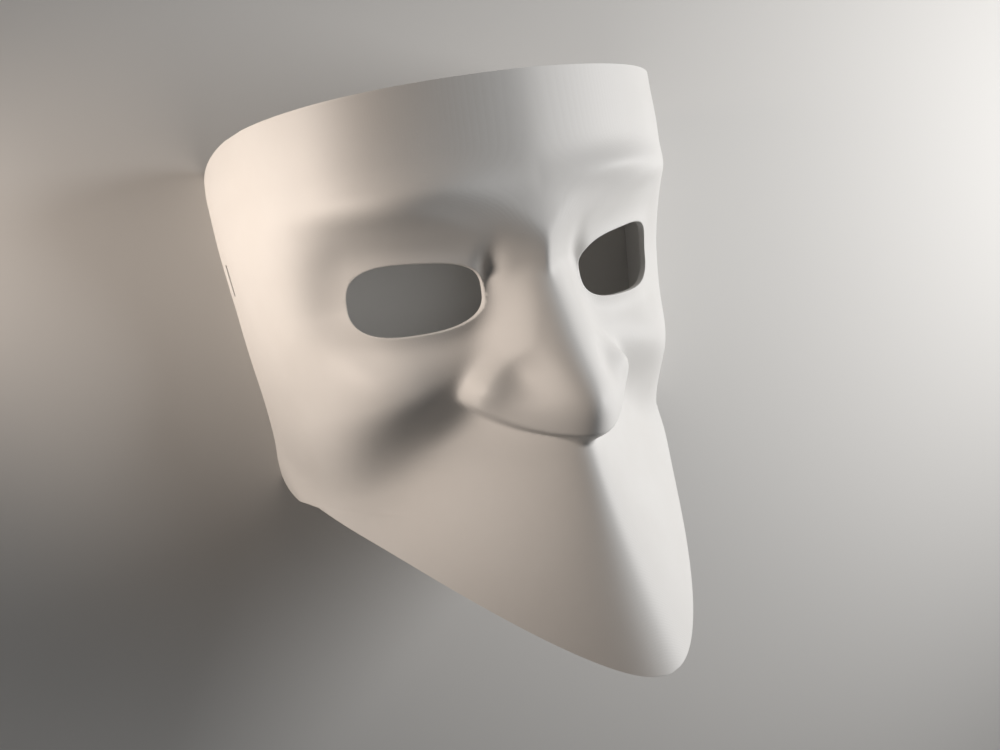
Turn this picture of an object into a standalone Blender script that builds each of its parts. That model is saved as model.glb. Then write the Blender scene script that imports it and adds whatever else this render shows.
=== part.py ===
"""Beaked full-face carnival mask: one moulded shell with a rolled-back rim plane, two
eye holes, a straight nose and a prow that covers the mouth and chin.

The mask lies face up. X is across the face, Y runs from the chin to the forehead, Z comes
out of the face, and the flat back edge of the rim is Z = 0. Built with
blender --background --python part.py
"""
import math

import bmesh
import bpy
import numpy as np

MM = 0.001

# Sizes in millimetres. Heights on the face are measured from the eye-hole centres.
EYE_HEIGHT = 23.2        # eye-hole centres above the middle of the mask's length
WALL = 2.4
RIM_HALF = 80.8          # half width at the back edge, eye level and above
RIM_JAW_LOSS = 4.5
TEMPLE_SLOPE = 3.17      # steepness of the side walls near the back edge
JAW_SLOPE_GAIN = 0.96
TOP_EDGE = 56.0          # forehead edge
TOP_CORNER_BACK = 36.0   # rounded rear corner of the forehead edge: along Z
TOP_CORNER_DROP = 10.3   # and along Y
JAW_EDGE = -59.34        # jaw cut where it would meet the rim plane
JAW_RAKE = 0.344         # fall of the jaw cut per unit of depth
JAW_HEEL = -57.5         # chin end of the flat back edge
JAW_CORNER_BACK = 18.0   # rounded rear corner of the jaw: along Z
JAW_CORNER_DROP = 9.3    # and along Y
FOREHEAD_DEPTH = 89.5
SOCKET_DEPTH = 12.8
BROW_HEIGHT = 25.6
BROW_DIP = 18.9
CHEEK_FALL = 11.8
NASION_DEPTH = 86.1
NOSE_RISE = 20.1
NOSE_FLANK = 1.45
NOSE_RADIUS = 8.1
PROW_DEPTH = 97.6        # prow ridge depth just under the nose
PROW_TOP = -45.0
PROW_FLANK = 1.42
EYE_X = 33.3
EYE_HALF_W = 17.77
EYE_HALF_H = 10.26
EYE_POWER = 2.84
EYE_TILT = 0.0535
EYE_BEND = 0.051
EYE_TAPER = 0.1145
SLOT_LENGTH = 11.0       # narrow strap slots by the temples, along Y
SLOT_WIDTH = 1.2
SLOT_HEIGHT = 3.6        # slot centre above the back edge
SLOT_MIDDLE = 12.5       # and above the eye-hole centres

ROWS = 52
COLUMNS = 44


def ease(t):
    t = np.clip(t, 0.0, 1.0)
    return t * t * (3.0 - 2.0 * t)


def bell(d):
    return np.exp(-d * d)


def soft_max(a, b, k):
    return 0.5 * (a + b + np.sqrt((a - b) ** 2 + k * k))


def soft_min(a, b, k):
    return 0.5 * (a + b - np.sqrt((a - b) ** 2 + k * k))


def rim_half(y):
    return RIM_HALF - 2.0 * ease((y - 38) / 20) - RIM_JAW_LOSS * ease((10 - y) / 75)


def eye_ratio(x, y):
    """1 on the edge of the eye hole, less inside it, more outside."""
    dx = np.abs(x) - EYE_X
    along = dx * math.cos(EYE_TILT) + y * math.sin(EYE_TILT)
    across = -dx * math.sin(EYE_TILT) + y * math.cos(EYE_TILT)
    u = along / EYE_HALF_W
    v = (across / EYE_HALF_H - EYE_BEND * u * u) / np.maximum(1 + EYE_TAPER * u, 0.6)
    return (np.abs(u) ** EYE_POWER + np.abs(v) ** EYE_POWER) ** (1 / EYE_POWER)


def head_form(x, y):
    """Forehead, temples and cheeks, with the eye sockets set back under the brows."""
    s = x / rim_half(y)
    z = FOREHEAD_DEPTH * (1 - 0.477 * s * s - 0.523 * np.abs(s) ** 5.79)
    brow = BROW_HEIGHT - BROW_DIP * np.exp(-x / 14) - 2.1 * ease((x - 44) / 20)
    low = ease(-y / 35.8)
    width = 17.6 + 20.9 * low
    temple = 1 - (0.52 + 0.11 * low) * ease((x - 50 + 12.5 * low) / width)
    z = z - SOCKET_DEPTH * temple * ease((brow + 7.1 - y) / 32.8)
    z = z + 3.56 * bell((x - 34.5) / 21.8) * bell((y - 28.2) / 5.1)
    crest = 26.5 - 38.8 * np.exp(-x / 13.7)
    z = z + 1.3 * bell((y - crest) / 3.0) * bell((x - 40) / 16)
    z = z - 2.06 * bell((eye_ratio(x, y) - 1.33) / 0.5)
    fold = -21.6 - 0.33 * (x - 26)
    z = z - CHEEK_FALL * ease((fold - y) / 31.2) * (1 - 0.34 * ease((x - 46) / 28))
    z = z + 4.51 * bell((x - 45.7) / 13.7) * bell((y + 27) / 10.9)
    z = z - 3.69 * bell((x - 70) / 9) * bell((y + 32.1) / 18)
    return z - 1.54 * bell((x - 72) / 8) * bell((y - 32) / 12)


def prow_form(x, y):
    """V-shaped prow, sharper under the nose and rounder towards the chin."""
    drop = np.maximum(PROW_TOP - y, 0.0)
    ridge = PROW_DEPTH + 0.31 * (PROW_TOP - y) + 0.0031 * drop * drop
    radius = 6.7 + 10.8 * ease((PROW_TOP - 3 - y) / 50)
    return ridge - PROW_FLANK * (np.hypot(x, radius) - radius)


def nose_form(x, y):
    t = np.maximum((6 - y) / 36, 0.0)
    ridge = NASION_DEPTH + soft_min(NOSE_RISE * t ** 1.14, 22.3 - 0.22 * (-30 - y), 5.0)
    radius = NOSE_RADIUS - 0.4 * ease((-8 - y) / 22)
    z = ridge - NOSE_FLANK * (np.hypot(x, radius) - radius)
    z = z - 3.66 * bell((x - 12.4) / 4.7) * bell((y + 24.3) / 6.5)
    z = z + 2.55 * bell(np.hypot(x, y + 31.7) / 9.1)
    return z + 4.3 * bell((x - 23.7) / 5.4) * bell((y + 27.2) / 5.6)


def face_depth(x, y):
    """Depth of the mask's outer face over the point x, y, in millimetres."""
    x = np.abs(x)
    z = head_form(x, y) - 3.4 * bell((x - 13.5) / 2.9) * bell((y - 5.0) / 6.5)
    z = soft_max(z, prow_form(x, y) - 0.6, 7.2)
    nose_half = 16 + 10.7 * ease((2 - y) / 37)
    blend = 4.8 + 10.3 * ease((y + 29) / 14.4)
    nose_base = -40.9 + 0.9 * (x / 10) ** 2.5
    underside = 2.2 + 3.3 * bell(x / 4.5)
    rise = nose_form(x, y) - z
    rise = 0.5 * (rise + np.sqrt(rise * rise + 4.0))
    side = 1 - ease((x - nose_half - 2.5 + blend) / blend)
    z = z + rise * side * ease((y - nose_base + underside) / (underside + 0.5))
    slope = TEMPLE_SLOPE + JAW_SLOPE_GAIN * ease((-5 - y) / 50)
    return soft_min(z, slope * (rim_half(y) + 0.6 - x), 2.0)


def spread(low, high, count, density):
    """count stations from low to high, closer together where density is larger."""
    fine = np.linspace(low, high, 1001)
    weight = density(fine)
    run = np.concatenate(([0.0], np.cumsum(0.5 * (weight[1:] + weight[:-1]))))
    return np.interp(np.linspace(0, run[-1], count), run, fine)


def inner_depth(x, y):
    """Depth of the inner face: the outer face moved in by the wall, measured square to it."""
    z = face_depth(x, y) - WALL
    for tilt in (25, 45, 60, 70, 78, 86):
        reach = WALL * math.sin(math.radians(tilt))
        lift = WALL * math.cos(math.radians(tilt))
        for k in range(16):
            turn = 2 * math.pi * k / 16
            z = np.minimum(z, face_depth(x + reach * math.cos(turn), y + reach * math.sin(turn)) - lift)
    return z


def row_height(level, x):
    """Rows bend up beside the nose, so that they run along its base."""
    x = np.abs(x)
    bend = 0.9 * (np.minimum(x, 26.0) / 10) ** 2.5
    return level + bend * bell((level + 42) / 18) * (1 - ease((x - 22) / 34))


def face_grid(depth):
    """Points of one face, row by row, running past the rim plane and the jaw cut."""
    levels = spread(-104.5, TOP_EDGE + 3.0, ROWS,
                    lambda y: (1 + 2.2 * bell((y + 42.5) / 3.5) + 0.7 * bell((y + 32) / 12)
                               + 0.4 * bell((y - 18) / 14)))
    across = 92.0 * np.sin(np.linspace(0, math.pi / 2, 800))
    grid = []
    for level in levels:
        y = row_height(level, across)
        z = depth(across, y)
        floor = np.maximum(0.0, (JAW_EDGE - y) / JAW_RAKE) - 7.0
        last = int(np.argmax(z < floor)) if (z < floor).any() else len(z) - 1
        x, y, z = across[:last + 1], y[:last + 1], z[:last + 1]
        step = np.sqrt(np.diff(x) ** 2 + np.diff(y) ** 2 + np.diff(z) ** 2)
        run = np.concatenate(([0.0], np.cumsum(step * (1 + 1.2 * bell(x[1:] / 26)))))
        side = np.linspace(-run[-1], run[-1], COLUMNS)
        px = np.sign(side) * np.interp(np.abs(side), run, x)
        py = np.interp(np.abs(side), run, y)
        pz = np.interp(np.abs(side), run, z)
        grid.append([(px[i] * MM, (py[i] + EYE_HEIGHT) * MM, pz[i] * MM) for i in range(COLUMNS)])
    return grid


def add_object(name, bm):
    mesh = bpy.data.meshes.new(name)
    bm.to_mesh(mesh)
    bm.free()
    obj = bpy.data.objects.new(name, mesh)
    bpy.context.scene.collection.objects.link(obj)
    return obj


def prism(name, outline, axis, low, high):
    """Closed prism over an outline of point pairs, along X or Z."""
    bm = bmesh.new()
    ends = []
    for level in (low, high):
        if axis == "X":
            ends.append([bm.verts.new((level * MM, (a + EYE_HEIGHT) * MM, b * MM)) for a, b in outline])
        else:
            ends.append([bm.verts.new((a * MM, (b + EYE_HEIGHT) * MM, level * MM)) for a, b in outline])
    count = len(outline)
    for i in range(count):
        j = (i + 1) % count
        bm.faces.new((ends[0][i], ends[0][j], ends[1][j], ends[1][i]))
    bm.faces.new(ends[0][::-1])
    bm.faces.new(ends[1])
    bmesh.ops.recalc_face_normals(bm, faces=bm.faces)
    obj = add_object(name, bm)
    obj.hide_render = True
    obj.display_type = "WIRE"
    return obj


def side_outline():
    """Side view of what the mask fills: forehead edge, rim plane and jaw cut."""
    points = [(TOP_EDGE, 160.0)]
    for i in range(13):
        a = 0.5 * math.pi * i / 12
        y = TOP_EDGE - TOP_CORNER_DROP * (1 - math.cos(a))
        points.append((y, TOP_CORNER_BACK * (1 - math.sin(a))))
    for i in range(9):
        a = 0.5 * math.pi * i / 8
        y = JAW_HEEL - JAW_CORNER_DROP * math.sin(a)
        points.append((y, JAW_CORNER_BACK * (1 - math.cos(a))))
    points.append((JAW_EDGE - 22.6 * JAW_RAKE, 22.6))
    points.append((JAW_EDGE - 160.0 * JAW_RAKE, 160.0))
    return points


def eye_outline(side):
    points = []
    for i in range(40):
        a = 2 * math.pi * i / 40
        u = math.copysign(abs(math.cos(a)) ** (2 / EYE_POWER), math.cos(a))
        v = math.copysign(abs(math.sin(a)) ** (2 / EYE_POWER), math.sin(a))
        along = EYE_HALF_W * u
        across = EYE_HALF_H * (v * (1 + EYE_TAPER * u) + EYE_BEND * u * u)
        x = EYE_X + along * math.cos(EYE_TILT) - across * math.sin(EYE_TILT)
        y = along * math.sin(EYE_TILT) + across * math.cos(EYE_TILT)
        points.append((side * x, y))
    return points


def shell_mesh():
    """Outer and inner face joined round their borders into one closed body."""
    bm = bmesh.new()
    outer = [[bm.verts.new(p) for p in row] for row in face_grid(face_depth)]
    inner = [[bm.verts.new(p) for p in row] for row in face_grid(inner_depth)]
    for lower, upper in zip(outer, outer[1:]):
        for i in range(COLUMNS - 1):
            bm.faces.new((lower[i], lower[i + 1], upper[i + 1], upper[i]))
    for lower, upper in zip(inner, inner[1:]):
        for i in range(COLUMNS - 1):
            bm.faces.new((lower[i], upper[i], upper[i + 1], lower[i + 1]))
    for face in bm.faces:
        face.smooth = True
    ring_outer, ring_inner = (
        grid[0] + [row[-1] for row in grid[1:]] + grid[-1][-2::-1] + [row[0] for row in grid[-2:0:-1]]
        for grid in (outer, inner))
    for i in range(len(ring_outer)):
        j = (i + 1) % len(ring_outer)
        bm.faces.new((ring_outer[j], ring_outer[i], ring_inner[i], ring_inner[j]))
    return bm


def slot_cutter(side):
    """Round-ended bar along Y that passes through the side wall."""
    half = 0.5 * SLOT_WIDTH
    flat = 0.5 * SLOT_LENGTH - half
    outline = []
    for end in (1, -1):
        for i in range(7):
            a = math.pi * (i / 6 - 0.5)
            along = SLOT_MIDDLE + end * (flat + half * math.cos(a))
            outline.append((along, SLOT_HEIGHT + end * half * math.sin(a)))
    name = "slot_cut_left" if side < 0 else "slot_cut_right"
    low, high = sorted((side * 70, side * 90))
    return prism(name, outline, "X", low, high)


def plastic():
    mat = bpy.data.materials.new("white_plastic")
    mat.use_nodes = True
    shader = mat.node_tree.nodes["Principled BSDF"]
    shader.inputs["Base Color"].default_value = (0.82, 0.80, 0.77, 1.0)
    shader.inputs["Roughness"].default_value = 0.55
    shader.inputs["Metallic"].default_value = 0.0
    return mat


def build():
    for old in list(bpy.data.objects):
        bpy.data.objects.remove(old, do_unlink=True)
    mask = add_object("mask_shell", shell_mesh())
    mask.data.materials.append(plastic())

    trims = [("side_cut", "INTERSECT", prism("side_cut", side_outline(), "X", -120, 120))]
    for side, label in ((-1, "eye_cut_left"), (1, "eye_cut_right")):
        trims.append((label, "DIFFERENCE", prism(label, eye_outline(side), "Z", 20, 120)))
        slot = slot_cutter(side)
        trims.append((slot.name, "DIFFERENCE", slot))
    for label, operation, cutter in trims:
        cut = mask.modifiers.new(label, "BOOLEAN")
        cut.operation = operation
        cut.solver = "EXACT"
        cut.object = cutter


build()
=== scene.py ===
import math

import bmesh
import bpy
import numpy as np
from mathutils import Matrix, Vector


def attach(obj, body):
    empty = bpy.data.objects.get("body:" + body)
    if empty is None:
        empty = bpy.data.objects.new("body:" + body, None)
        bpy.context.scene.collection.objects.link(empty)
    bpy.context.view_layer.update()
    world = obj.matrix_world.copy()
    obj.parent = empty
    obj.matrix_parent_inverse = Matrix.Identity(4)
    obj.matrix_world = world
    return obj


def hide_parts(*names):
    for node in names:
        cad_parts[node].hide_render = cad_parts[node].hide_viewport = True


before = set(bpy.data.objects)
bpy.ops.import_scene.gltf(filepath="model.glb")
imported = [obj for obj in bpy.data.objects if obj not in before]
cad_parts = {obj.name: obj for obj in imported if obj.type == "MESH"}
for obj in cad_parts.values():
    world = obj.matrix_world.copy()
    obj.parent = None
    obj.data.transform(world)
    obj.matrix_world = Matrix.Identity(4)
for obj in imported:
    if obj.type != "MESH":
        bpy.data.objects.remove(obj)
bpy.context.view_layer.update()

MM = 0.001               # metres in a millimetre

# Sizes are in millimetres. Heights on the face are measured from the middle of the eye
# holes, which lies EYE_HEIGHT above the frame's origin. Depth is measured from the back edge.
EYE_HEIGHT = 23.2
WALL = 2.4

# Back edge and side walls
RIM_HALF = 80.8          # half width at the back edge, at eye level
RIM_TOP_LOSS = 2.0
RIM_JAW_LOSS = 4.5
TEMPLE_SLOPE = 3.17
JAW_SLOPE_GAIN = 0.96
SIDE_REACH = 0.6         # how far the sloping side walls start outside the back edge
SIDE_BLEND = 2.0

# Side view
TOP_EDGE = 56.0
TOP_CORNER_BACK = 36.0
TOP_CORNER_DROP = 10.3
JAW_EDGE = -59.34
JAW_RAKE = 0.344
JAW_HEEL = -57.5
JAW_CORNER_BACK = 18.0
JAW_CORNER_DROP = 9.3

# Forehead, temples, brows and cheeks
FOREHEAD_DEPTH = 89.5
FOREHEAD_BOW = 0.477     # share of the depth lost in a plain curve to the side
FOREHEAD_ROLL = 0.523    # share lost in the rounder turn at the temple
FOREHEAD_POWER = 5.79
SOCKET_DEPTH = 12.8
SOCKET_SPAN = 32.8
SOCKET_START = 7.1       # above the brow line
BROW_HEIGHT = 25.6
BROW_DIP = 18.9          # the brow line drops towards the nose
BROW_DIP_SPAN = 14.0
BROW_TAIL_DROP = 2.1
CREST_HEIGHT = 26.5
CREST_DIP = 38.8
CREST_DIP_SPAN = 13.7
CREST_RISE = 1.3
TEMPLE_X = 50.0
TEMPLE_SHIFT = 12.5
TEMPLE_WIDTH = 17.6
TEMPLE_WIDTH_GAIN = 20.9
TEMPLE_FILL = 0.52       # how much of the socket's depth ends at the temple
TEMPLE_FILL_GAIN = 0.11
LOWER_FACE_SPAN = 35.8
LID_HOLLOW = 2.06
CHEEK_FALL = 11.8
CHEEK_FALL_SPAN = 31.2
CHEEK_FALL_OUTER_LOSS = 0.34
FOLD_HEIGHT = -21.6
FOLD_SLOPE = 0.33

# Local rises and hollows: height (minus sets back), x, spread in x, y, spread in y
BROW_BONE = (3.56, 34.5, 21.8, 28.2, 5.1)
CHEEKBONE = (4.51, 45.7, 13.7, -27.0, 10.9)
JAW_HOLLOW = (-3.69, 70.0, 9.0, -32.1, 18.0)
TEMPLE_HOLLOW = (-1.54, 72.0, 8.0, 32.0, 12.0)
EYE_CORNER_GROOVE = (-3.4, 13.5, 2.9, 5.0, 6.5)
NOSE_WING_GROOVE = (-3.66, 12.4, 4.7, -24.3, 6.5)
NOSE_WING = (4.3, 23.7, 5.4, -27.2, 5.6)

# Nose
NASION_DEPTH = 86.1      # depth of the nose bridge between the eyes
NOSE_RISE = 20.1
NOSE_RISE_POWER = 1.14
NOSE_CAP = 22.3
NOSE_CAP_FALL = 0.22
NOSE_CAP_BLEND = 5.0
NOSE_FLANK = 1.45
NOSE_RADIUS = 8.1
NOSE_TIP_SHARPENING = 0.4
NOSE_BALL_RISE = 2.55
NOSE_BALL_HEIGHT = -31.7
NOSE_BALL_SPREAD = 9.1
NOSE_HALF = 16.0
NOSE_HALF_GAIN = 10.7
NOSE_EDGE = 4.8          # width over which the nose's side runs out into the cheek
NOSE_EDGE_GAIN = 10.3
NOSE_BASE = -40.9
NOSE_BASE_LIFT = 0.9     # the base line climbs towards the wings
NOSE_BASE_POWER = 2.5
UNDERSIDE = 2.2
UNDERSIDE_GAIN = 3.3
UNDERSIDE_SPREAD = 4.5

# Prow
PROW_DEPTH = 97.6        # depth of the ridge just under the nose
PROW_TOP = -45.0
PROW_LEAN = 0.31
PROW_SWEEP = 0.0031
PROW_FLANK = 1.42
PROW_RADIUS = 6.7
PROW_RADIUS_GAIN = 10.8
PROW_SINK = 0.6
PROW_BLEND = 7.2

# Eye holes and strap slots
EYE_X = 33.3
EYE_HALF_W = 17.77
EYE_HALF_H = 10.26
EYE_POWER = 2.84
EYE_TILT = 0.0535
EYE_BEND = 0.051
EYE_TAPER = 0.1145
SLOT_LENGTH = 11.0
SLOT_WIDTH = 1.2
SLOT_HEIGHT = 3.6
SLOT_MIDDLE = 12.5
SLOT_CUT = (70, 90)      # from x to x, through the side wall
EDGE = 0.35              # softening of the eye holes' edges
CUT_FLARE = 1.2          # widening of the cutter outside the wall
CUT_REACH = 14.0

# Mesh
ROWS = 200
COLUMNS = 180
CHIN_LIMIT = -102.4
ROW_JOIN = -68.0         # below this the rows of the two faces part
ROW_MARGIN = 0.02
SIDE_LIMIT = 86.0
WALL_TILTS = (25, 45, 60, 70, 78, 86)
WALL_TURNS = 16
EYE_POINTS = 144
SLOT_END_POINTS = 9
SHARP_ANGLE = 40

# Camera: fitted to the outline of the mask, place in millimetres
LENS_PER_SENSOR = 0.78
SENSOR = 36.0
CAMERA_PLACE = (-90.77, 21.16, 285.27)
CAMERA_RIGHT = (0.9163, -0.1591, 0.3676)
CAMERA_UP = (0.2215, 0.9659, -0.1340)
CAMERA_BACK = (-0.3338, 0.2042, 0.9203)

# Looks
LAYER = 0.42             # height of one printed layer
LAYER_WOBBLE = 0.12
LAYER_RELIEF = 0.06
GRAIN_RELIEF = 0.03
PLASTIC_IOR = 1.46
PLASTIC_DARK = (0.80, 0.785, 0.76, 1.0)
PLASTIC_LIGHT = (0.84, 0.83, 0.81, 1.0)
PLASTIC_ROUGHNESS = (0.46, 0.62)
FLOOR_HALF = 6.0         # metres
FLOOR_COLOUR = (0.70, 0.69, 0.67, 1.0)
FLOOR_ROUGHNESS = 0.9
AMBIENT = 0.05


def ease(t):
    """Smooth step from 0 to 1; calls pass the distance past its start over its length."""
    t = np.clip(t, 0.0, 1.0)
    return t * t * (3.0 - 2.0 * t)


def bell(d):
    """1 at d = 0, fading to nothing by about d = 2."""
    return np.exp(-d * d)


def soft_max(a, b, k):
    return 0.5 * (a + b + np.sqrt((a - b) ** 2 + k * k))


def soft_min(a, b, k):
    return 0.5 * (a + b - np.sqrt((a - b) ** 2 + k * k))


def swell(form, x, y):
    """One local rise or hollow of the face."""
    height, x_place, x_spread, y_place, y_spread = form
    return height * bell((x - x_place) / x_spread) * bell((y - y_place) / y_spread)


def rim_half(y):
    """Half width of the mask at its back edge."""
    return RIM_HALF - RIM_TOP_LOSS * ease((y - 38) / 20) - RIM_JAW_LOSS * ease((10 - y) / 75)


def eye_ratio(x, y):
    """1 on the edge of the eye hole, less inside it, more outside."""
    dx = np.abs(x) - EYE_X
    along = dx * math.cos(EYE_TILT) + y * math.sin(EYE_TILT)
    across = -dx * math.sin(EYE_TILT) + y * math.cos(EYE_TILT)
    u = along / EYE_HALF_W
    v = (across / EYE_HALF_H - EYE_BEND * u * u) / np.maximum(1 + EYE_TAPER * u, 0.6)
    return (np.abs(u) ** EYE_POWER + np.abs(v) ** EYE_POWER) ** (1 / EYE_POWER)


def head_form(x, y):
    """Forehead, temples and cheeks, with the eye sockets set back under the brows."""
    s = x / rim_half(y)
    z = FOREHEAD_DEPTH * (1 - FOREHEAD_BOW * s * s - FOREHEAD_ROLL * np.abs(s) ** FOREHEAD_POWER)
    brow = BROW_HEIGHT - BROW_DIP * np.exp(-x / BROW_DIP_SPAN) - BROW_TAIL_DROP * ease((x - 44) / 20)
    low = ease(-y / LOWER_FACE_SPAN)
    width = TEMPLE_WIDTH + TEMPLE_WIDTH_GAIN * low
    fill = TEMPLE_FILL + TEMPLE_FILL_GAIN * low
    temple = 1 - fill * ease((x - TEMPLE_X + TEMPLE_SHIFT * low) / width)
    z = z - SOCKET_DEPTH * temple * ease((brow + SOCKET_START - y) / SOCKET_SPAN)
    z = z + swell(BROW_BONE, x, y)
    crest = CREST_HEIGHT - CREST_DIP * np.exp(-x / CREST_DIP_SPAN)
    z = z + CREST_RISE * bell((y - crest) / 3.0) * bell((x - 40) / 16)
    z = z - LID_HOLLOW * bell((eye_ratio(x, y) - 1.33) / 0.5)
    fold = FOLD_HEIGHT - FOLD_SLOPE * (x - 26)
    fall = CHEEK_FALL * ease((fold - y) / CHEEK_FALL_SPAN)
    z = z - fall * (1 - CHEEK_FALL_OUTER_LOSS * ease((x - 46) / 28))
    z = z + swell(CHEEKBONE, x, y)
    z = z + swell(JAW_HOLLOW, x, y)
    return z + swell(TEMPLE_HOLLOW, x, y)


def prow_form(x, y):
    """V-shaped prow, sharper under the nose and rounder towards the chin."""
    drop = np.maximum(PROW_TOP - y, 0.0)
    ridge = PROW_DEPTH + PROW_LEAN * (PROW_TOP - y) + PROW_SWEEP * drop * drop
    radius = PROW_RADIUS + PROW_RADIUS_GAIN * ease((PROW_TOP - 3 - y) / 50)
    return ridge - PROW_FLANK * (np.hypot(x, radius) - radius)


def nose_form(x, y):
    """Nose with a rounded ridge, a ball at its tip and a wing at each side."""
    t = np.maximum((6 - y) / 36, 0.0)
    cap = NOSE_CAP - NOSE_CAP_FALL * (-30 - y)
    ridge = NASION_DEPTH + soft_min(NOSE_RISE * t ** NOSE_RISE_POWER, cap, NOSE_CAP_BLEND)
    radius = NOSE_RADIUS - NOSE_TIP_SHARPENING * ease((-8 - y) / 22)
    z = ridge - NOSE_FLANK * (np.hypot(x, radius) - radius)
    z = z + swell(NOSE_WING_GROOVE, x, y)
    z = z + NOSE_BALL_RISE * bell(np.hypot(x, y - NOSE_BALL_HEIGHT) / NOSE_BALL_SPREAD)
    return z + swell(NOSE_WING, x, y)


def face_depth(x, y):
    """Depth of the mask's outer face over the point x, y, in millimetres."""
    x = np.abs(x)
    z = head_form(x, y) + swell(EYE_CORNER_GROOVE, x, y)
    z = soft_max(z, prow_form(x, y) - PROW_SINK, PROW_BLEND)
    nose_half = NOSE_HALF + NOSE_HALF_GAIN * ease((2 - y) / 37)
    blend = NOSE_EDGE + NOSE_EDGE_GAIN * ease((y + 29) / 14.4)
    nose_base = NOSE_BASE + NOSE_BASE_LIFT * (x / 10) ** NOSE_BASE_POWER
    underside = UNDERSIDE + UNDERSIDE_GAIN * bell(x / UNDERSIDE_SPREAD)
    rise = nose_form(x, y) - z
    rise = 0.5 * (rise + np.sqrt(rise * rise + 4.0))
    side = 1 - ease((x - nose_half - 2.5 + blend) / blend)
    z = z + rise * side * ease((y - nose_base + underside) / (underside + 0.5))
    slope = TEMPLE_SLOPE + JAW_SLOPE_GAIN * ease((-5 - y) / 50)
    return soft_min(z, slope * (rim_half(y) + SIDE_REACH - x), SIDE_BLEND)


def inner_depth(x, y):
    """Depth of the inner face: the outer face moved in by the wall, measured square to it."""
    z = face_depth(x, y) - WALL
    for tilt in WALL_TILTS:
        reach = WALL * math.sin(math.radians(tilt))
        lift = WALL * math.cos(math.radians(tilt))
        for k in range(WALL_TURNS):
            turn = 2 * math.pi * k / WALL_TURNS
            near = face_depth(x + reach * math.cos(turn), y + reach * math.sin(turn))
            z = np.minimum(z, near - lift)
    return z


def back_line(y):
    """Depth at which the side view is cut: jaw, flat back edge and rounded top corner."""
    top = np.clip((y - TOP_EDGE + TOP_CORNER_DROP) / TOP_CORNER_DROP, 0, 1)
    heel = np.clip((JAW_HEEL - y) / JAW_CORNER_DROP, 0, 1)
    line = TOP_CORNER_BACK * (1 - np.sqrt(1 - top * top))
    line = line + JAW_CORNER_BACK * (1 - np.sqrt(1 - heel * heel))
    jaw = np.where(y < JAW_HEEL - JAW_CORNER_DROP, (JAW_EDGE - y) / JAW_RAKE, 0.0)
    return np.maximum(line, jaw)


def chin_end(depth):
    """Height at which the ridge of a face meets the jaw cut."""
    y = np.linspace(-90, -110, 4001)
    gap = depth(np.zeros_like(y), y) - (JAW_EDGE - y) / JAW_RAKE
    return float(y[int(np.argmax(gap < 0))])


def level_list(end):
    """Row heights from the chin to the forehead, equal for both faces above ROW_JOIN.

    The rows lie closer under the nose, at the forehead and jaw corners, at the eyes and at
    the chin.
    """
    fine = np.linspace(0, 1, 2001)
    y = CHIN_LIMIT + fine * (TOP_EDGE - CHIN_LIMIT)
    weight = 1 + 1.5 * bell((y + 44) / 6) + 0.8 * bell((y - 52) / 5)
    weight = weight + 0.6 * bell((y + 62) / 5) + 0.8 * bell(y / 12)
    weight = weight + 3.0 * bell((y - CHIN_LIMIT) / 3)
    run = np.concatenate(([0.0], np.cumsum(0.5 * (weight[1:] + weight[:-1]))))
    y = np.interp(np.linspace(0, run[-1], ROWS), run, y)
    low = y < ROW_JOIN
    y[low] = ROW_JOIN - (ROW_JOIN - y[low]) * (ROW_JOIN - end) / (ROW_JOIN - y[0])
    return y


def face_grid(depth):
    """Rows of points across one face, ending on the cut line."""
    fine = SIDE_LIMIT * np.sin(np.linspace(0, math.pi / 2, 700))
    grid = []
    for y in level_list(chin_end(depth) + ROW_MARGIN):
        z = depth(fine, np.full_like(fine, y))
        stop = float(back_line(np.array(y)))
        last = int(np.argmax(z < stop)) if (z < stop).any() else len(z) - 1
        last = max(last, 1)
        t = (z[last - 1] - stop) / max(z[last - 1] - z[last], 1e-6)
        t = min(max(t, 0), 1)
        x = np.append(fine[:last], fine[last - 1] + t * (fine[last] - fine[last - 1]))
        z = np.append(z[:last], stop)
        step = np.hypot(np.diff(x), np.diff(z)) * (1 + 0.8 * bell(x[1:] / 28))
        run = np.concatenate(([0.0], np.cumsum(step)))
        side = np.linspace(-1, 1, COLUMNS) * run[-1]
        px = np.sign(side) * np.interp(np.abs(side), run, x)
        pz = np.interp(np.abs(side), run, z)
        grid.append(np.stack([px, np.full_like(px, y), pz], axis=1))
    return np.array(grid)


def to_mesh(name, points, faces):
    """Object from points in millimetres, moved from eye height to the frame's origin."""
    mesh = bpy.data.meshes.new(name)
    places = [(float(x) * MM, (float(y) + EYE_HEIGHT) * MM, float(z) * MM) for x, y, z in points]
    mesh.from_pydata(places, [], faces)
    mesh.validate()
    obj = bpy.data.objects.new(name, mesh)
    bpy.context.scene.collection.objects.link(obj)
    return obj


def shell(name):
    """Closed body of outer face, inner face and the strip between their edges."""
    outer = face_grid(face_depth)
    inner = face_grid(inner_depth)
    rows, columns = outer.shape[:2]
    count = rows * columns
    faces = []
    for r in range(rows - 1):
        for c in range(columns - 1):
            a = r * columns + c
            faces.append((a, a + 1, a + columns + 1, a + columns))
            a += count
            faces.append((a, a + columns, a + columns + 1, a + 1))
    ring = list(range(columns))
    ring += [r * columns + columns - 1 for r in range(1, rows)]
    ring += [(rows - 1) * columns + c for c in range(columns - 2, -1, -1)]
    ring += [r * columns for r in range(rows - 2, 0, -1)]
    for a, b in zip(ring, ring[1:] + ring[:1]):
        faces.append((b, a, a + count, b + count))
    points = np.concatenate([outer.reshape(-1, 3), inner.reshape(-1, 3)])
    return to_mesh(name, points, faces)


def turned_out(obj):
    """The same object with its faces pointing outwards."""
    bm = bmesh.new()
    bm.from_mesh(obj.data)
    bmesh.ops.recalc_face_normals(bm, faces=bm.faces)
    bm.to_mesh(obj.data)
    bm.free()
    return obj


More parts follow.
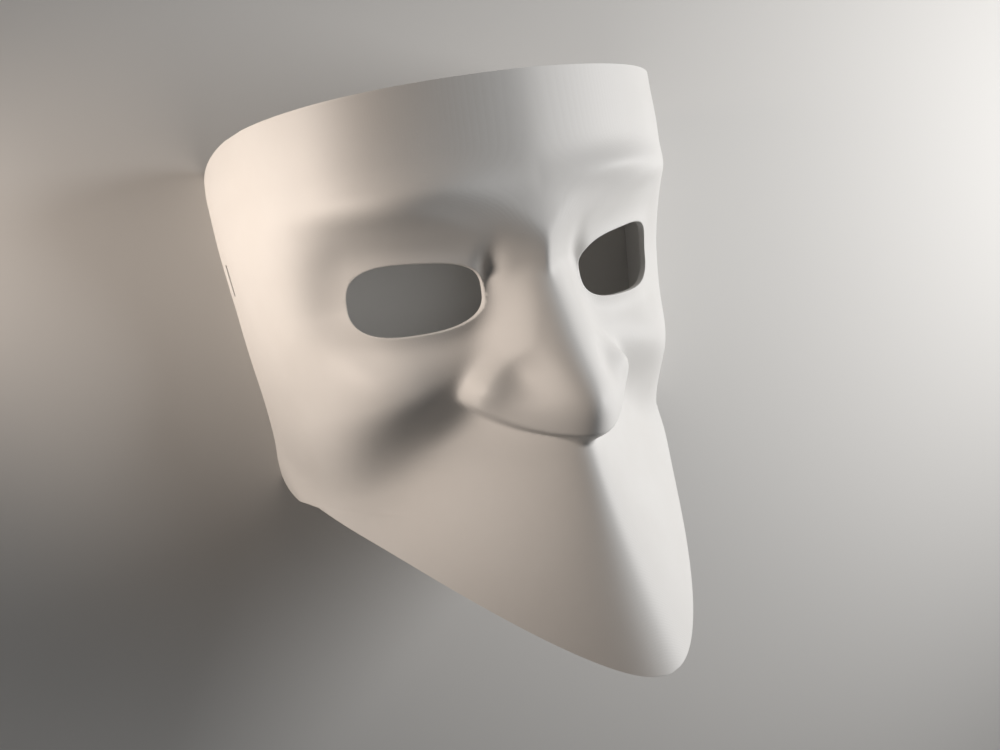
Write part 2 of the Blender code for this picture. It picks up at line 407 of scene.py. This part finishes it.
def eye_point(a, grow):
    """Point of the eye hole's outline at the angle a, moved outwards by grow."""
    u = math.copysign(abs(math.cos(a)) ** (2 / EYE_POWER), math.cos(a))
    v = math.copysign(abs(math.sin(a)) ** (2 / EYE_POWER), math.sin(a))
    along = EYE_HALF_W * u
    across = EYE_HALF_H * (v * (1 + EYE_TAPER * u) + EYE_BEND * u * u)
    scale = 1 + grow / math.hypot(along, across)
    along, across = along * scale, across * scale
    x = EYE_X + along * math.cos(EYE_TILT) - across * math.sin(EYE_TILT)
    y = along * math.sin(EYE_TILT) + across * math.cos(EYE_TILT)
    return x, y


def eye_cutter(side):
    """Tube through the wall whose ends flare a little, so that the hole's edges are soft."""
    count = EYE_POINTS
    profile = ((CUT_FLARE, CUT_REACH), (CUT_FLARE, CUT_FLARE), (EDGE, 0.0),
               (0.3 * EDGE, -0.3 * EDGE), (0.0, -EDGE))
    levels = [(grow, face_depth, lift) for grow, lift in profile]
    levels += [(grow, inner_depth, -lift) for grow, lift in reversed(profile)]
    rings = []
    for grow, face, lift in levels:
        ring = np.array([eye_point(2 * math.pi * i / count, grow) for i in range(count)])
        z = face(ring[:, 0], ring[:, 1]) + lift
        rings.append(np.stack([side * ring[:, 0], ring[:, 1], z], axis=1))
    faces = []
    for k in range(len(rings) - 1):
        for i in range(count):
            j = (i + 1) % count
            faces.append((k * count + i, k * count + j, (k + 1) * count + j, (k + 1) * count + i))
    faces.append(tuple(range(count)))
    faces.append(tuple((len(rings) - 1) * count + i for i in range(count))[::-1])
    return turned_out(to_mesh("eye_cut", np.concatenate(rings), faces))


def slot_cutter(side):
    """Bar with rounded ends that cuts one strap slot."""
    half = 0.5 * SLOT_WIDTH
    flat = 0.5 * SLOT_LENGTH - half
    outline = []
    for end in (1, -1):
        for i in range(SLOT_END_POINTS):
            a = math.pi * (i / (SLOT_END_POINTS - 1) - 0.5)
            y = SLOT_MIDDLE + end * (flat + half * math.cos(a))
            outline.append((y, SLOT_HEIGHT + end * half * math.sin(a)))
    n = len(outline)
    points = [(side * x, y, z) for x in SLOT_CUT for y, z in outline]
    faces = [(i, (i + 1) % n, n + (i + 1) % n, n + i) for i in range(n)]
    faces += [tuple(range(n))[::-1], tuple(range(n, 2 * n))]
    return turned_out(to_mesh("slot_cut", points, faces))


def cut(obj, cutters):
    """Take the cutters out of the object, remove them and shade what is left smooth."""
    for cutter in cutters:
        mod = obj.modifiers.new("cut", "BOOLEAN")
        mod.operation = "DIFFERENCE"
        mod.solver = "EXACT"
        mod.object = cutter
    graph = bpy.context.evaluated_depsgraph_get()
    mesh = bpy.data.meshes.new_from_object(obj.evaluated_get(graph))
    obj.modifiers.clear()
    obj.data = mesh
    for cutter in cutters:
        bpy.data.objects.remove(cutter, do_unlink=True)
    for poly in mesh.polygons:
        poly.use_smooth = True
    bpy.context.view_layer.objects.active = obj
    mesh.set_sharp_from_angle(angle=math.radians(SHARP_ANGLE))


def node(tree, kind, **values):
    """New node with the named inputs set."""
    made = tree.nodes.new(kind)
    for key, value in values.items():
        made.inputs[key].default_value = value
    return made


def noise(tree, coords, **values):
    """Output of a noise texture over the given coordinates."""
    made = node(tree, "ShaderNodeTexNoise", **values)
    tree.links.new(coords, made.inputs["Vector"])
    return made.outputs["Fac"]


def math_node(tree, operation, first, second=None):
    """Output of a math node whose inputs are numbers or other outputs."""
    made = tree.nodes.new("ShaderNodeMath")
    made.operation = operation
    for socket, value in zip(made.inputs, (first, second)):
        if value is None:
            continue
        if isinstance(value, (int, float)):
            socket.default_value = value
        else:
            tree.links.new(value, socket)
    return made.outputs[0]


def printed_plastic():
    """Matt white printed plastic: fine layer lines at constant depth, faint clouding and grain."""
    mat = bpy.data.materials.new("printed_white_plastic")
    mat.use_nodes = True
    tree = mat.node_tree
    shader = tree.nodes["Principled BSDF"]
    shader.inputs["IOR"].default_value = PLASTIC_IOR
    coords = tree.nodes.new("ShaderNodeTexCoord").outputs["Object"]
    split = tree.nodes.new("ShaderNodeSeparateXYZ")
    tree.links.new(coords, split.inputs[0])
    wobble = noise(tree, coords, Scale=35.0, Detail=2.0)
    shift = math_node(tree, "MULTIPLY", wobble, LAYER_WOBBLE * MM)
    height = math_node(tree, "ADD", split.outputs["Z"], shift)
    phase = math_node(tree, "FRACT", math_node(tree, "DIVIDE", height, LAYER * MM))
    away = math_node(tree, "SUBTRACT", phase, 0.5)
    dip = math_node(tree, "MULTIPLY", math_node(tree, "MULTIPLY", away, away), 4.0)
    scallop = math_node(tree, "SUBTRACT", 1.0, dip)
    grain = noise(tree, coords, Scale=1400.0, Detail=3.0)
    cloud = noise(tree, coords, Scale=24.0, Detail=4.0, Roughness=0.6)

    layers = node(tree, "ShaderNodeBump", Strength=0.14, Distance=LAYER_RELIEF * MM)
    tree.links.new(scallop, layers.inputs["Height"])
    fine = node(tree, "ShaderNodeBump", Strength=0.25, Distance=GRAIN_RELIEF * MM)
    tree.links.new(grain, fine.inputs["Height"])
    tree.links.new(layers.outputs["Normal"], fine.inputs["Normal"])
    tree.links.new(fine.outputs["Normal"], shader.inputs["Normal"])

    colour = tree.nodes.new("ShaderNodeValToRGB")
    stops = ((0.3, PLASTIC_DARK), (0.7, PLASTIC_LIGHT))
    for stop, (position, shade) in zip(colour.color_ramp.elements, stops):
        stop.position = position
        stop.color = shade
    tree.links.new(cloud, colour.inputs["Fac"])
    tree.links.new(colour.outputs["Color"], shader.inputs["Base Color"])
    rough = tree.nodes.new("ShaderNodeMapRange")
    rough.inputs["To Min"].default_value = PLASTIC_ROUGHNESS[0]
    rough.inputs["To Max"].default_value = PLASTIC_ROUGHNESS[1]
    tree.links.new(cloud, rough.inputs["Value"])
    tree.links.new(rough.outputs["Result"], shader.inputs["Roughness"])
    return mat


def pale_floor():
    """Plain matt floor at the height of the mask's back edge."""
    corners = [(x * FLOOR_HALF, y * FLOOR_HALF, 0) for x, y in ((-1, -1), (1, -1), (1, 1), (-1, 1))]
    mesh = bpy.data.meshes.new("studio_floor")
    mesh.from_pydata(corners, [], [(0, 1, 2, 3)])
    obj = bpy.data.objects.new("studio_floor", mesh)
    bpy.context.scene.collection.objects.link(obj)
    mat = bpy.data.materials.new("studio_grey")
    mat.use_nodes = True
    shader = mat.node_tree.nodes["Principled BSDF"]
    shader.inputs["Base Color"].default_value = FLOOR_COLOUR
    shader.inputs["Roughness"].default_value = FLOOR_ROUGHNESS
    obj.data.materials.append(mat)
    return obj


def area_light(name, place, target, size, power, colour, spread=180):
    """Round lamp in metres and watts, turned to its target; spread is its beam in degrees."""
    data = bpy.data.lights.new(name, "AREA")
    data.shape = "DISK"
    data.size = size
    data.energy = power
    data.color = colour
    data.spread = math.radians(spread)
    obj = bpy.data.objects.new(name, data)
    bpy.context.scene.collection.objects.link(obj)
    obj.location = place
    obj.rotation_euler = (Vector(place) - Vector(target)).to_track_quat("Z", "Y").to_euler()


def camera():
    """Camera at the photograph's angle."""
    data = bpy.data.cameras.new("camera")
    data.sensor_width = SENSOR
    data.lens = LENS_PER_SENSOR * SENSOR
    data.clip_start = 0.01
    obj = bpy.data.objects.new("camera", data)
    bpy.context.scene.collection.objects.link(obj)
    x, y, z = CAMERA_PLACE
    place = (x * MM, (y + EYE_HEIGHT) * MM, z * MM)
    rows = list(zip(CAMERA_RIGHT, CAMERA_UP, CAMERA_BACK, place))
    obj.matrix_world = Matrix(rows + [(0, 0, 0, 1)])
    bpy.context.scene.camera = obj


mask = shell("bauta_shell")
cut(mask, [eye_cutter(-1), eye_cutter(1), slot_cutter(-1), slot_cutter(1)])
mask.data.materials.append(printed_plastic())
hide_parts("mask_shell")
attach(mask, "root")

pale_floor()
area_light("warm_left", place=(-0.255, 0.092, 0.050), target=(-0.07, 0.03, 0.052),
           size=0.08, power=0.103, colour=(1.0, 0.865, 0.76), spread=84)
area_light("cool_right", place=(0.42, 0.050, 0.33), target=(0, 0, 0.05),
           size=0.30, power=2.15, colour=(1.0, 0.99, 0.985))
world = bpy.data.worlds.new("studio")
world.use_nodes = True
background = world.node_tree.nodes["Background"]
background.inputs["Color"].default_value = (1.0, 1.0, 1.0, 1.0)
background.inputs["Strength"].default_value = AMBIENT
bpy.context.scene.world = world
bpy.context.scene.view_settings.view_transform = "Standard"
camera()
